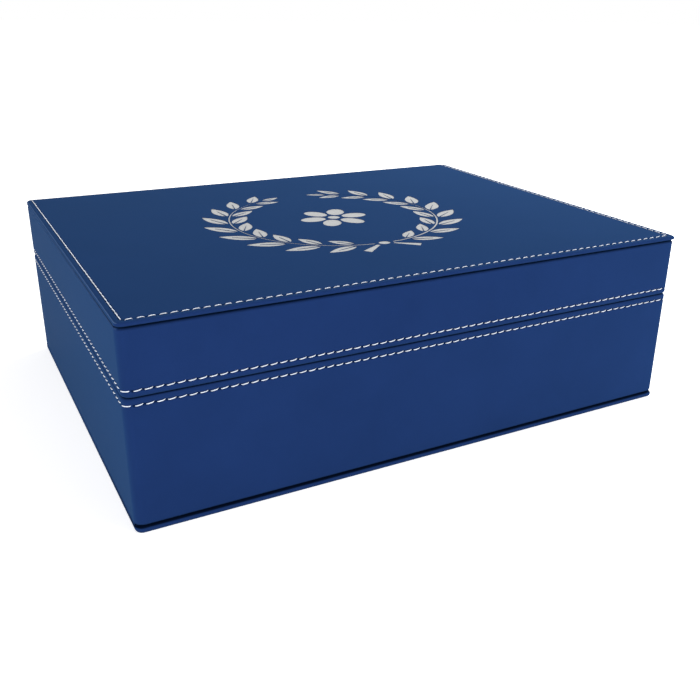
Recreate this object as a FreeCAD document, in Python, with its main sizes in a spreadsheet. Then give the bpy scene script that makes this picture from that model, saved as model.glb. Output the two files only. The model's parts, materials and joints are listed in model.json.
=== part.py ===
"""Leatherette gift box: wrapped boards, a lined base and a lined lid on two stop hinges.

The origin is at the middle of the underside. +X runs to the right, +Y to the hinges
at the back, +Z up. All lengths are in millimetres and all angles in degrees.
"""

import FreeCAD, Part
import os
import Sketcher

# Each size of the box: name, value and what it measures.
SIZES = [
    ("panel_width", 254.0, "top and bottom panels, left to right"),
    ("panel_depth", 196.0, "top and bottom panels, front to back"),
    ("base_height", 53.5, "underside of the box to the rim of the base"),
    ("lid_height", 27.4, "rim of the lid to the top of its panel"),
    ("rim_gap", 0.3, "gap between the rims of the closed box"),
    ("panel_overhang", 0.3, "how far the panels stand past the walls"),
    ("panel_corner", 3.0, "radius of the panels' corners, seen from above"),
    ("base_panel_round", 1.4, "roll of the bottom panel's outer edge"),
    ("lid_panel_round", 1.0, "roll of the top panel's outer edge"),
    ("panel_ease", 0.6, "bevel of the panels' edges beside the walls"),
    ("base_gap_height", 1.2, "shadow gap between the bottom panel's front edge and the wall"),
    ("lid_gap_height", 0.8, "shadow gap between the top panel's front edge and the wall"),
    ("gap_depth", 3.0, "how far the shadow gaps reach in"),
    ("base_board_thick", 1.9, "card board inside the bottom panel"),
    ("lid_board_thick", 0.8, "card board inside the top panel"),
    ("skin_thick", 0.7, "leatherette"),
    ("turn_in", 14.0, "leatherette turned in behind a panel's edge"),
    ("wall_thick", 8.0, "fibre board of the walls"),
    ("wall_corner", 3.5, "radius of the upright corners"),
    ("rim_round", 1.7, "roll of the walls' covering at the rims"),
    ("foot_ease", 0.9, "bevel of the walls' covering beside the panels"),
    ("turn_down", 10.0, "leatherette turned down inside the walls"),
    ("lining_thick", 1.5, "cloth-covered lining boards"),
    ("lining_drop", 2.5, "rim to the edge of the lining"),
    ("lining_round", 0.6, "soft edge of the lining"),
    ("pad_clear", 0.3, "play between a pad and the lining round it"),
    ("pad_corner", 2.0, "radius of the pads' corners"),
    ("floor_pad_edge", 3.0, "height of the floor pad at its edge"),
    ("floor_pad_crown", 1.0, "rise of the floor pad towards its middle"),
    ("lid_pad_edge", 3.5, "height of the lid's pad at its edge"),
    ("lid_pad_crown", 2.0, "rise of the lid's pad towards its middle"),
    ("hinge_inset", 52.0, "side of the box to the middle of a hinge"),
    ("hinge_width", 32.0, "length of a hinge along its pin"),
    ("leaf_thick", 1.2, "hinge leaves"),
    ("leaf_reach", 7.5, "how far a leaf reaches in from the back"),
    ("leaf_clear", 0.2, "play round a leaf in its recess"),
    ("barrel_radius", 2.2, "knuckles of the hinges"),
    ("barrel_clear", 0.3, "play between a knuckle and what it passes"),
    ("knuckle_gap", 0.2, "gap between neighbouring knuckles"),
    ("pin_radius", 1.0, "hinge pins"),
    ("pin_grip", 0.01, "radial play of a pin in the base's knuckles"),
    ("pin_play", 0.05, "radial play of a pin in the lid's knuckle"),
    ("pin_stand", 0.3, "how far a pin stands out of its barrel"),
    ("open_angle", 95.0, "how far the lid opens"),
    ("stop_play", 1.0, "angle left between the stops of the open hinge"),
    ("stop_reach", 1.7, "how far the stops stand out of the barrel"),
    ("stop_root", 0.45, "how far the stops reach into the barrel"),
    ("stop_spread", 30.0, "angle that a stop covers round the barrel"),
    ("screw_spread", 19.0, "one screw of a leaf to the other"),
    ("screw_setback", 4.2, "back face of the walls to the screws"),
    ("screw_head", 1.9, "radius of the countersunk heads"),
    ("screw_shank", 1.0, "radius of the shanks"),
    ("screw_length", 9.0, "screws from head to point"),
    ("screw_point", 1.6, "length of the tapered point"),
    ("screw_clear", 0.05, "play round a screw"),
    ("magnet_inset", 62.0, "side of the box to the middle of a magnet"),
    ("magnet_radius", 3.0, "disc magnets"),
    ("magnet_thick", 2.0, "disc magnets"),
    ("magnet_clear", 0.05, "play round a magnet in its bore"),
]

# Half widths and half depths, worked out from the outside inwards.
PANEL_X = "(sizes.panel_width / 2)"
PANEL_Y = "(sizes.panel_depth / 2)"
WALL_X = f"({PANEL_X} - sizes.panel_overhang)"
WALL_Y = f"({PANEL_Y} - sizes.panel_overhang)"
CORE_X = f"({WALL_X} - sizes.skin_thick)"
CORE_Y = f"({WALL_Y} - sizes.skin_thick)"
INNER_X = f"({CORE_X} - sizes.wall_thick)"
INNER_Y = f"({CORE_Y} - sizes.wall_thick)"
LEG_X = f"({INNER_X} - sizes.skin_thick)"
LEG_Y = f"({INNER_Y} - sizes.skin_thick)"
ROOM_X = f"({LEG_X} - sizes.lining_thick)"
ROOM_Y = f"({LEG_Y} - sizes.lining_thick)"

# Heights, from the underside of the box.
BASE_FOOT = "(sizes.base_board_thick + 2 * sizes.skin_thick)"
BASE_RIM = "sizes.base_height"
LID_RIM = "(sizes.base_height + sizes.rim_gap)"
LID_TOP = f"({LID_RIM} + sizes.lid_height)"
LID_FOOT = f"({LID_TOP} - sizes.lid_board_thick - 2 * sizes.skin_thick)"

# The hinge axis lies behind the back face, in the middle of the gap between the rims.
AXIS_SETBACK = "(sizes.barrel_radius + sizes.barrel_clear)"
AXIS_Y = f"({WALL_Y} + {AXIS_SETBACK})"
AXIS_Z = "(sizes.base_height + sizes.rim_gap / 2)"
HINGE_X = f"({PANEL_X} - sizes.hinge_inset)"
SCREW_X = "(sizes.screw_spread / 2)"
SCREW_Y = f"({WALL_Y} - sizes.screw_setback)"
MAGNET_X = f"({PANEL_X} - sizes.magnet_inset)"
MAGNET_Y = f"(-{CORE_Y} + sizes.wall_thick / 2)"

# A bevel of this share of a radius touches the round corner at its middle.
FLAT_SHARE = "(2 - sqrt(2))"

SIDES = {"left": -1, "right": 1}

doc = FreeCAD.newDocument("gift_box")
sheet = doc.addObject("Spreadsheet::Sheet", "sizes")
nodes = []


def fill_sheet():
    """Write every size into the sheet, with its name as the cell's alias."""
    for row, (name, number, meaning) in enumerate(SIZES, start=1):
        sheet.set(f"A{row}", name)
        sheet.set(f"B{row}", str(number))
        sheet.set(f"C{row}", meaning)
        sheet.setAlias(f"B{row}", name)
    doc.recompute()


def value(expression):
    """Return the number that an expression gives with the sheet as it is."""
    return float(sheet.evalExpression(str(expression)))


def bind(item, **expressions):
    """Tie properties of an object to expressions; a double underscore stands for a dot."""
    for path, expression in expressions.items():
        item.setExpression(path.replace("__", "."), str(expression))


def keep(item, label):
    """Name a finished sub-part and put it on the list of pieces."""
    item.Label = label
    nodes.append(item)
    return item


def origin_feature(body, role):
    """Return the plane or axis of a body's own origin that has a role."""
    return next(item for item in body.Origin.OriginFeatures if item.Role == role)


def new_sketch(body, role, across="0", up="0", along="0"):
    """Attach a sketch to an origin plane, shifted in the plane and along its normal."""
    sketch = body.newObject("Sketcher::SketchObject", "sketch")
    sketch.AttachmentSupport = (origin_feature(body, role), [""])
    sketch.MapMode = "FlatFace"
    bind(
        sketch,
        AttachmentOffset__Base__x=across,
        AttachmentOffset__Base__y=up,
        AttachmentOffset__Base__z=along,
    )
    return sketch


def fix_point(sketch, edge, end, x, y):
    """Hold one point of a sketch at two expressions."""
    for kind, expression in (("DistanceX", x), ("DistanceY", y)):
        rule = Sketcher.Constraint(kind, -1, 1, edge, end, value(expression))
        index = sketch.addConstraint(rule)
        sketch.setExpression(f"Constraints[{index}]", str(expression))


def draw_polygon(sketch, points):
    """Draw a closed outline of straight lines through points given as expressions."""
    count = len(points)
    spots = [FreeCAD.Vector(value(x), value(y), 0) for x, y in points]
    first = sketch.GeometryCount
    for index in range(count):
        sketch.addGeometry(Part.LineSegment(spots[index], spots[(index + 1) % count]), False)
    for index in range(count):
        following = first + (index + 1) % count
        sketch.addConstraint(Sketcher.Constraint("Coincident", first + index, 2, following, 1))
    for index, (x, y) in enumerate(points):
        fix_point(sketch, first + index, 1, x, y)


def draw_circle(sketch, x, y, radius):
    """Draw a circle at a place and with a radius given as expressions."""
    centre = FreeCAD.Vector(value(x), value(y), 0)
    edge = sketch.addGeometry(Part.Circle(centre, FreeCAD.Vector(0, 0, 1), value(radius)), False)
    index = sketch.addConstraint(Sketcher.Constraint("Radius", edge, value(radius)))
    sketch.setExpression(f"Constraints[{index}]", str(radius))
    fix_point(sketch, edge, 3, x, y)


def rectangle(half_x, half_y):
    """Return the corners of a rectangle about the middle, as expressions."""
    return [
        (f"-{half_x}", f"-{half_y}"),
        (half_x, f"-{half_y}"),
        (half_x, half_y),
        (f"-{half_x}", half_y),
    ]


def pad(body, sketch, length):
    """Pad a sketch along its normal."""
    feature = body.newObject("PartDesign::Pad", "pad")
    feature.Profile = sketch
    bind(feature, Length=length)
    doc.recompute()
    return feature


def pocket(body, sketch, length):
    """Cut a sketch out along its normal, and make sure that something was cut."""
    before = body.Shape.Volume
    feature = body.newObject("PartDesign::Pocket", "pocket")
    feature.Profile = sketch
    feature.Reversed = True
    bind(feature, Length=length)
    doc.recompute()
    if body.Shape.Volume >= before:
        raise RuntimeError(f"a pocket of {body.Label} cuts nothing")
    return feature


def edges_of(feature, chosen):
    """Name the edges of a feature that a test picks by their bounding boxes."""
    edges = enumerate(feature.Shape.Edges, start=1)
    return [f"Edge{number}" for number, edge in edges if chosen(edge)]


def round_edges(body, feature, radius, chosen):
    """Fillet the edges of a feature that a test picks."""
    fillet = body.newObject("PartDesign::Fillet", "fillet")
    fillet.Base = (feature, edges_of(feature, chosen))
    bind(fillet, Radius=radius)
    doc.recompute()
    return fillet


def bevel_edges(body, feature, size, chosen):
    """Chamfer the edges of a feature that a test picks."""
    chamfer = body.newObject("PartDesign::Chamfer", "chamfer")
    chamfer.Base = (feature, edges_of(feature, chosen))
    bind(chamfer, Size=size)
    doc.recompute()
    return chamfer


def same(first, second):
    """Tell whether two lengths are equal within the modelling tolerance."""
    return abs(first - second) < 1e-5


def upright(edge):
    """Tell whether an edge runs straight up."""
    box = edge.BoundBox
    return box.ZLength > 1e-5 and box.XLength < 1e-5 and box.YLength < 1e-5


def level_at(height):
    """Return a test for edges that lie level at a height."""
    return lambda edge: same(edge.BoundBox.ZMin, height) and same(edge.BoundBox.ZMax, height)


def eased_block(name, half_x, half_y, corner, low, high, roll=None, bevel=None, ease=round_edges):
    """Make a block with round upright corners, or flat ones where the ease is a bevel.

    A roll and a bevel, where given, are a height and a size: they ease the block's edges
    at its lower or its upper end.
    """
    body = doc.addObject("PartDesign::Body", name)
    sketch = new_sketch(body, "XY_Plane", along=low)
    draw_polygon(sketch, rectangle(half_x, half_y))
    feature = pad(body, sketch, f"{high} - {low}")
    feature = ease(body, feature, corner, upright)
    if roll:
        feature = round_edges(body, feature, roll[1], level_at(value(roll[0])))
    if bevel:
        bevel_edges(body, feature, bevel[1], level_at(value(bevel[0])))
    return body


def box(name, low_x, high_x, low_y, high_y, low_z, high_z):
    """Make a plain box between pairs of expressions."""
    block = doc.addObject("Part::Box", name)
    bind(
        block,
        Length=f"{high_x} - ({low_x})",
        Width=f"{high_y} - ({low_y})",
        Height=f"{high_z} - ({low_z})",
        Placement__Base__x=low_x,
        Placement__Base__y=low_y,
        Placement__Base__z=low_z,
    )
    return block


def cylinder(name, radius, x, y, low, high):
    """Make an upright cylinder between two heights."""
    drum = doc.addObject("Part::Cylinder", name)
    bind(
        drum,
        Radius=radius,
        Height=f"{high} - ({low})",
        Placement__Base__x=x,
        Placement__Base__y=y,
        Placement__Base__z=low,
    )
    return drum


def cut(base, tools):
    """Cut one tool, or several joined, out of a base."""
    tool = tools[0]
    if len(tools) > 1:
        tool = doc.addObject("Part::MultiFuse", "cutters")
        tool.Shapes = tools
    result = doc.addObject("Part::Cut", "cut")
    result.Base = base
    result.Tool = tool
    return result


def common(first, second):
    """Return what two forms share."""
    result = doc.addObject("Part::Common", "common")
    result.Base = first
    result.Tool = second
    return result


class Tray:
    """The heights of the base's or the lid's ring of walls, measured from its rim."""

    def __init__(self, name, rim, foot, rim_is_up):
        self.name = name
        self.rim = rim
        self.foot = foot
        self.rim_is_up = rim_is_up

    def at(self, depth):
        """Return the height that lies a depth away from the rim, towards the foot."""
        return f"({self.rim} - ({depth}))" if self.rim_is_up else f"({self.rim} + ({depth}))"

    def span(self, near, far):
        """Return the lower and upper height between two depths from the rim."""
        levels = [self.at(near), self.at(far)]
        return tuple(reversed(levels)) if self.rim_is_up else tuple(levels)

    def ends(self):
        """Return the lower and upper height of the walls with their covering."""
        return (self.foot, self.rim) if self.rim_is_up else (self.rim, self.foot)

    def core_ends(self):
        """Return the lower and upper height of the bare wall boards."""
        low, high = self.ends()
        return f"({low} + sizes.skin_thick)", f"({high} - sizes.skin_thick)"


BASE = Tray("base", BASE_RIM, BASE_FOOT, True)
LID = Tray("lid", LID_RIM, LID_FOOT, False)


def front_gap(name, low, high, outer_up, margin):
    """Return the shadow gap along a panel's front edge, beside the wall, with a margin round it."""
    reach = f"(sizes.{name}_gap_height + {margin})"
    gap_low, gap_high = (low, f"({low} + {reach})") if outer_up else (f"({high} - {reach})", high)
    back = f"-{PANEL_Y} + sizes.gap_depth + {margin}"
    return box("gap", f"-{PANEL_X}", PANEL_X, f"-{PANEL_Y}", back, gap_low, gap_high)


def make_panel(name, low, high, outer_up):
    """Make a panel's board and the leatherette wrapped round it, open at the hidden side."""
    round_size = f"sizes.{name}_panel_round"
    board_low = f"({low} + sizes.skin_thick)"
    board_high = f"({high} - sizes.skin_thick)"
    board = eased_block(
        "board",
        f"({PANEL_X} - sizes.skin_thick)",
        f"({PANEL_Y} - sizes.skin_thick)",
        f"({FLAT_SHARE} * (sizes.panel_corner - sizes.skin_thick))",
        board_low,
        board_high,
        bevel=(board_high if outer_up else board_low, f"({round_size} - sizes.skin_thick)"),
        ease=bevel_edges,
    )
    board = cut(board, [front_gap(name, low, high, outer_up, "sizes.skin_thick")])
    wrap = eased_block(
        "wrap",
        PANEL_X,
        PANEL_Y,
        "sizes.panel_corner",
        low,
        high,
        roll=(high if outer_up else low, round_size),
        bevel=(low if outer_up else high, "sizes.panel_ease"),
    )
    window_low, window_high = (low, board_low) if outer_up else (board_high, high)
    window_x = f"({PANEL_X} - sizes.turn_in)"
    window_y = f"({PANEL_Y} - sizes.turn_in)"
    window = box("window", f"-{window_x}", window_x, f"-{window_y}", window_y, window_low, window_high)
    keep(board, f"{name}_panel_board")
    gap = front_gap(name, low, high, outer_up, "0")
    keep(cut(wrap, [board, window, gap]), f"{name}_panel_cover")


def hinge_recesses(tray):
    """Return the recesses in a rim that take the hinge leaves."""
    low, high = tray.span("0", "sizes.leaf_thick")
    half = "(sizes.hinge_width / 2 + sizes.leaf_clear)"
    front = f"({WALL_Y} - sizes.leaf_reach - sizes.leaf_clear)"
    recesses = []
    for sign in SIDES.values():
        middle = f"({sign} * {HINGE_X})"
        recesses.append(box("recess", f"{middle} - {half}", f"{middle} + {half}", front, PANEL_Y, low, high))
    return recesses


def screw_holes(tray):
    """Return the pilot holes under the hinge leaves."""
    low, high = tray.span("sizes.leaf_thick", "sizes.screw_length + sizes.screw_clear")
    radius = "(sizes.screw_shank + sizes.screw_clear)"
    places = [f"({side} * {HINGE_X} + {end} * {SCREW_X})" for side in (-1, 1) for end in (-1, 1)]
    return [cylinder("pilot", radius, x, SCREW_Y, low, high) for x in places]


def magnet_span(tray):
    """Return the lower and upper height of a tray's magnets, just under the rim's covering."""
    return tray.span("sizes.skin_thick", "sizes.skin_thick + sizes.magnet_thick")


def magnet_bores(tray):
    """Return the bores in a front wall that take the magnets."""
    low, high = magnet_span(tray)
    radius = "(sizes.magnet_radius + sizes.magnet_clear)"
    return [cylinder("bore", radius, f"{sign} * {MAGNET_X}", MAGNET_Y, low, high) for sign in SIDES.values()]


def make_walls(tray):
    """Make the four wall boards and the leatherette band that wraps them."""
    core_low, core_high = tray.core_ends()
    core = eased_block(
        "core",
        CORE_X,
        CORE_Y,
        f"({FLAT_SHARE} * (sizes.wall_corner - sizes.skin_thick))",
        core_low,
        core_high,
        bevel=(tray.at("sizes.skin_thick"), "(sizes.rim_round - sizes.skin_thick)"),
        ease=bevel_edges,
    )
    slabs = {
        "front": box("slab", f"-{CORE_X}", CORE_X, f"-{CORE_Y}", f"-{INNER_Y}", core_low, core_high),
        "back": box("slab", f"-{CORE_X}", CORE_X, INNER_Y, CORE_Y, core_low, core_high),
        "left": box("slab", f"-{CORE_X}", f"-{INNER_X}", f"-{INNER_Y}", INNER_Y, core_low, core_high),
        "right": box("slab", INNER_X, CORE_X, f"-{INNER_Y}", INNER_Y, core_low, core_high),
    }
    recesses = hinge_recesses(tray)
    cutters = {"front": magnet_bores(tray), "back": recesses + screw_holes(tray)}
    for side, slab in slabs.items():
        wall = common(core, slab)
        if side in cutters:
            wall = cut(wall, cutters[side])
        keep(wall, f"{tray.name}_{side}_wall")

    low, high = tray.ends()
    outer = eased_block(
        "band",
        WALL_X,
        WALL_Y,
        "sizes.wall_corner",
        low,
        high,
        roll=(tray.rim, "sizes.rim_round"),
        bevel=(tray.foot, "sizes.foot_ease"),
    )
    throat = box("throat", f"-{LEG_X}", LEG_X, f"-{LEG_Y}", LEG_Y, low, high)
    bare_low, bare_high = sorted((tray.foot, tray.at("sizes.turn_down")), key=value)
    bare = box("bare", f"-{INNER_X}", INNER_X, f"-{INNER_Y}", INNER_Y, bare_low, bare_high)
    keep(cut(outer, [core_ring(core, tray), throat, bare] + recesses), f"{tray.name}_wall_cover")


def core_ring(core, tray):
    """Return the ring of wall boards as one form, without its recesses."""
    low, high = tray.core_ends()
    return cut(core, [box("room", f"-{INNER_X}", INNER_X, f"-{INNER_Y}", INNER_Y, low, high)])


def make_linings(tray):
    """Make the four cloth-covered boards that line the walls."""
    low, high = sorted((tray.foot, tray.at("sizes.lining_drop")), key=value)
    edge_height = value(tray.at("sizes.lining_drop"))
    spans = {
        "front": (f"-{LEG_X}", LEG_X, f"-{LEG_Y}", f"-{ROOM_Y}"),
        "back": (f"-{LEG_X}", LEG_X, ROOM_Y, LEG_Y),
        "left": (f"-{LEG_X}", f"-{ROOM_X}", f"-{ROOM_Y}", ROOM_Y),
        "right": (ROOM_X, LEG_X, f"-{ROOM_Y}", ROOM_Y),
    }
    for side, (low_x, high_x, low_y, high_y) in spans.items():
        body = doc.addObject("PartDesign::Body", "lining")
        sketch = new_sketch(body, "XY_Plane", along=low)
        draw_polygon(sketch, [(low_x, low_y), (high_x, low_y), (high_x, high_y), (low_x, high_y)])
        feature = pad(body, sketch, f"{high} - {low}")
        inner = lining_edge(side, edge_height)
        round_edges(body, feature, "sizes.lining_round", inner)
        keep(body, f"{tray.name}_{side}_lining")


def lining_edge(side, height):
    """Return a test for the edge of a lining that shows inside the box."""
    level = level_at(height)
    room_x = value(ROOM_X)
    room_y = value(ROOM_Y)
    places = {
        "front": lambda middle: same(middle.y, -room_y),
        "back": lambda middle: same(middle.y, room_y),
        "left": lambda middle: same(middle.x, -room_x),
        "right": lambda middle: same(middle.x, room_x),
    }
    return lambda edge: level(edge) and places[side](edge.BoundBox.Center)


def crown_cutter(sketch, half, edge, crown):
    """Draw the region above a shallow arc that spans a pad from side to side."""
    radius = f"(({half} * {half} + {crown} * {crown}) / (2 * {crown}))"
    clear = f"({edge} + 2 * {crown})"
    left, right = f"-{half}", half
    ends = [FreeCAD.Vector(value(x), value(edge), 0) for x in (left, right)]
    top = FreeCAD.Vector(0, value(f"{edge} + {crown}"), 0)
    corners = [FreeCAD.Vector(value(x), value(clear), 0) for x in (right, left)]
    arc = sketch.addGeometry(Part.Arc(ends[1], top, ends[0]), False)
    lines = [(ends[0], corners[1]), (corners[1], corners[0]), (corners[0], ends[1])]
    first = [sketch.addGeometry(Part.LineSegment(*line), False) for line in lines][0]
    outline = [arc, first, first + 1, first + 2]
    for edge_before, edge_after in zip(outline, outline[1:] + outline[:1]):
        sketch.addConstraint(Sketcher.Constraint("Coincident", edge_before, 2, edge_after, 1))
    fix_point(sketch, first, 1, left, edge)
    fix_point(sketch, first, 2, left, clear)
    fix_point(sketch, first + 1, 2, right, clear)
    fix_point(sketch, first + 2, 2, right, edge)
    index = sketch.addConstraint(Sketcher.Constraint("Radius", arc, value(radius)))
    sketch.setExpression(f"Constraints[{index}]", radius)


def make_pad(label, edge, crown, height, turned):
    """Make a cloth-covered pad that swells towards its middle both ways."""
    half_x = f"({ROOM_X} - sizes.pad_clear)"
    half_y = f"({ROOM_Y} - sizes.pad_clear)"
    body = eased_block("pad", half_x, half_y, "sizes.pad_corner", "0", f"({edge} + {crown})")
    for role, across, along in (("XZ_Plane", half_x, half_y), ("YZ_Plane", half_y, half_x)):
        sketch = new_sketch(body, role, along=f"-{along}")
        crown_cutter(sketch, across, edge, crown)
        pocket(body, sketch, f"2 * {along}")
    if turned:
        body.Placement = FreeCAD.Placement(FreeCAD.Vector(), FreeCAD.Rotation(FreeCAD.Vector(1, 0, 0), 180))
    bind(body, Placement__Base__z=height)
    keep(body, label)


def make_magnets(tray):
    """Make a tray's pair of disc magnets."""
    low, high = magnet_span(tray)
    body = doc.addObject("PartDesign::Body", "magnets")
    sketch = new_sketch(body, "XY_Plane", along=low)
    for sign in SIDES.values():
        draw_circle(sketch, f"{sign} * {MAGNET_X}", MAGNET_Y, "sizes.magnet_radius")
    pad(body, sketch, f"{high} - {low}")
    keep(body, f"{tray.name}_magnets")


def knuckle_spans(tray):
    """Return the start and length of each knuckle of a leaf, along the pin."""
    third = "(sizes.hinge_width / 3)"
    half_gap = "(sizes.knuckle_gap / 2)"
    if not tray.rim_is_up:
        return [(f"(-{third} / 2 + {half_gap})", f"({third} - sizes.knuckle_gap)")]
    length = f"({third} - {half_gap})"
    return [("(-sizes.hinge_width / 2)", length), (f"({third} / 2 + {half_gap})", length)]


def stop_outline(sign, inner):
    """Return the section of a stop: a wedge behind the barrel, above or below its middle."""
    first = "((sizes.open_angle + sizes.stop_play) / 2)"
    second = f"({first} + sizes.stop_spread)"
    outer = "(sizes.barrel_radius + sizes.stop_reach)"
    spots = [(inner, first), (outer, first), (outer, second), (inner, second)]
    return [(f"{radius} * cos({angle})", f"{sign} * {radius} * sin({angle})") for radius, angle in spots]


def pad_along_pin(body, start, length, draw):
    """Pad a section, drawn square to the pin, along a stretch of it."""
    sketch = new_sketch(body, "YZ_Plane", along=start)
    draw(sketch)
    return pad(body, sketch, length)


def make_leaf(tray, side):
    """Make a hinge leaf with its knuckles, its stop and its countersunk holes.

    The leaf is drawn about the middle of its pin. The lid's leaf has the middle knuckle
    and the base's leaf the outer two. The wedges behind the knuckles meet when the lid
    is open, and the base's wedge bridges the lid's knuckle, clear of it.
    """
    sign = -1 if tray.rim_is_up else 1
    face = f"({sign} * sizes.rim_gap / 2)"
    back = f"({sign} * (sizes.rim_gap / 2 + sizes.leaf_thick))"
    low, high = sorted((face, back), key=value)
    half = "(sizes.hinge_width / 2)"
    front = f"(-{AXIS_SETBACK} - sizes.leaf_reach)"
    rear = f"-{AXIS_SETBACK}"
    root = f"({rear} - sizes.leaf_thick)"
    body = doc.addObject("PartDesign::Body", "leaf")
    sketch = new_sketch(body, "XY_Plane", along=low)
    draw_polygon(sketch, [(f"-{half}", front), (half, front), (half, rear), (f"-{half}", rear)])
    pad(body, sketch, "sizes.leaf_thick")

    tongue = [(root, low), ("0", low), ("0", high), (root, high)]
    stop = stop_outline(sign, "(sizes.barrel_radius - sizes.stop_root)")
    for start, length in knuckle_spans(tray):
        pad_along_pin(body, start, length, lambda drawn: draw_polygon(drawn, tongue))
        pad_along_pin(body, start, length, lambda drawn: draw_circle(drawn, "0", "0", "sizes.barrel_radius"))
        pad_along_pin(body, start, length, lambda drawn: draw_polygon(drawn, stop))
    if tray.rim_is_up:
        bridge = stop_outline(sign, "(sizes.barrel_radius + sizes.barrel_clear)")
        pad_along_pin(body, f"-{half}", "sizes.hinge_width", lambda drawn: draw_polygon(drawn, bridge))

    play = "sizes.pin_grip" if tray.rim_is_up else "sizes.pin_play"
    sketch = new_sketch(body, "YZ_Plane", along=f"-{half}")
    draw_circle(sketch, "0", "0", f"(sizes.pin_radius + {play})")
    pocket(body, sketch, "sizes.hinge_width")

    sketch = new_sketch(body, "XY_Plane", along=low)
    for end in (-1, 1):
        hole_y = f"(-{AXIS_SETBACK} - sizes.screw_setback)"
        draw_circle(sketch, f"{end} * {SCREW_X}", hole_y, "(sizes.screw_shank + sizes.screw_clear)")
    holes = pocket(body, sketch, "sizes.leaf_thick")
    at_face = level_at(value(face))
    neck = "sizes.screw_head - sizes.screw_shank"
    bevel_edges(body, holes, neck, lambda edge: at_face(edge) and edge.Closed)
    bind(
        body,
        Placement__Base__x=f"{SIDES[side]} * {HINGE_X}",
        Placement__Base__y=AXIS_Y,
        Placement__Base__z=AXIS_Z,
    )
    keep(body, f"{side}_hinge_{tray.name}_leaf")


def make_pin(side):
    """Make a hinge pin, whose ends stand a little out of the barrel."""
    half = "(sizes.hinge_width / 2 + sizes.pin_stand)"
    body = doc.addObject("PartDesign::Body", "pin")
    sketch = new_sketch(body, "YZ_Plane", along=f"-{half}")
    draw_circle(sketch, "0", "0", "sizes.pin_radius")
    pad(body, sketch, f"2 * {half}")
    bind(
        body,
        Placement__Base__x=f"{SIDES[side]} * {HINGE_X}",
        Placement__Base__y=AXIS_Y,
        Placement__Base__z=AXIS_Z,
    )
    keep(body, f"{side}_hinge_pin")


def make_screws(tray):
    """Make the countersunk screws of a tray's leaves: one leaf's pair, mirrored to the other."""
    sign = -1 if tray.rim_is_up else 1
    neck = "(sizes.screw_head - sizes.screw_shank)"
    profile = [
        ("0", "0"),
        ("sizes.screw_head", "0"),
        ("sizes.screw_shank", f"{sign} * {neck}"),
        ("sizes.screw_shank", f"{sign} * (sizes.screw_length - sizes.screw_point)"),
        ("0", f"{sign} * sizes.screw_length"),
    ]
    body = doc.addObject("PartDesign::Body", "screws")
    turned = []
    for end in (-1, 1):
        sketch = new_sketch(
            body, "XZ_Plane", across=f"{HINGE_X} + {end} * {SCREW_X}", up=tray.rim, along=f"-{SCREW_Y}"
        )
        draw_polygon(sketch, profile)
        feature = body.newObject("PartDesign::Revolution", "screw")
        feature.Profile = sketch
        feature.ReferenceAxis = (sketch, ["V_Axis"])
        doc.recompute()
        turned.append(feature)
    mirror = body.newObject("PartDesign::Mirrored", "mirror")
    mirror.Originals = turned
    mirror.MirrorPlane = (origin_feature(body, "YZ_Plane"), [""])
    body.Tip = mirror
    doc.recompute()
    keep(body, f"hinge_{tray.name}_screws")


def check_pieces():
    """Stop if any object failed, or any piece is missing, broken or has too few solids."""
    doc.recompute()
    for item in doc.Objects:
        if {"Invalid", "Error"} & set(item.State):
            raise RuntimeError(f"{item.Label} failed: {item.State}")
    for item in nodes:
        shape = item.Shape
        if shape.isNull() or not shape.isValid() or not shape.Solids:
            raise RuntimeError(f"{item.Label} has no valid solid")
        print(f"{item.Label}: {len(shape.Solids)} solid(s), {shape.Volume:.1f} cubic mm")


def main():
    """Build every piece, check it and write it out."""
    fill_sheet()
    make_panel("base", "0", BASE_FOOT, outer_up=False)
    make_panel("lid", LID_FOOT, LID_TOP, outer_up=True)
    for tray in (BASE, LID):
        make_walls(tray)
        make_linings(tray)
        make_magnets(tray)
        for side in SIDES:
            make_leaf(tray, side)
        make_screws(tray)
    for side in SIDES:
        make_pin(side)
    make_pad("base_floor_pad", "sizes.floor_pad_edge", "sizes.floor_pad_crown", BASE_FOOT, turned=False)
    make_pad("lid_pad", "sizes.lid_pad_edge", "sizes.lid_pad_crown", LID_FOOT, turned=True)
    check_pieces()
    os.makedirs("parts", exist_ok=True)
    for item in nodes:
        item.Shape.exportStep(f"parts/{item.Label}.step")


main()
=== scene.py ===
"""Looks of a leatherette gift box, built round its packed construction model.

The script wraps the boards in leatherette, sews the rims and the lid, engraves a wreath, lines and pads
the inside, finishes the hinges and sets up a plain studio. All lengths are in metres.
"""

import json
import random
from contextlib import contextmanager
from math import atan2, copysign, cos, pi, radians, sin, sqrt

import bmesh
import bpy
from mathutils import Matrix, Vector


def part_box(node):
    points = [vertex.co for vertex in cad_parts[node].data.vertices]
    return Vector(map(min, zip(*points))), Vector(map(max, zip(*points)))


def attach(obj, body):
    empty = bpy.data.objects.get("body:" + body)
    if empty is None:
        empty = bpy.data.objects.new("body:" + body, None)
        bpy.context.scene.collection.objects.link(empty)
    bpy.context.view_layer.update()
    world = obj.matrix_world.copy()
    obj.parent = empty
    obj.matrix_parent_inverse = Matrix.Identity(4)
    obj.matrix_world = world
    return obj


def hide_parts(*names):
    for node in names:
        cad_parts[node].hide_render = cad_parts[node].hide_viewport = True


bl_info = {
    "name": "Leatherette gift box",
    "version": (1, 0, 0),
    "blender": (4, 5, 0),
    "location": "View3D > Sidebar > Gift Box",
    "description": "Wraps, sews, engraves and lines a hinged gift box",
    "category": "Object",
}

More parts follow.
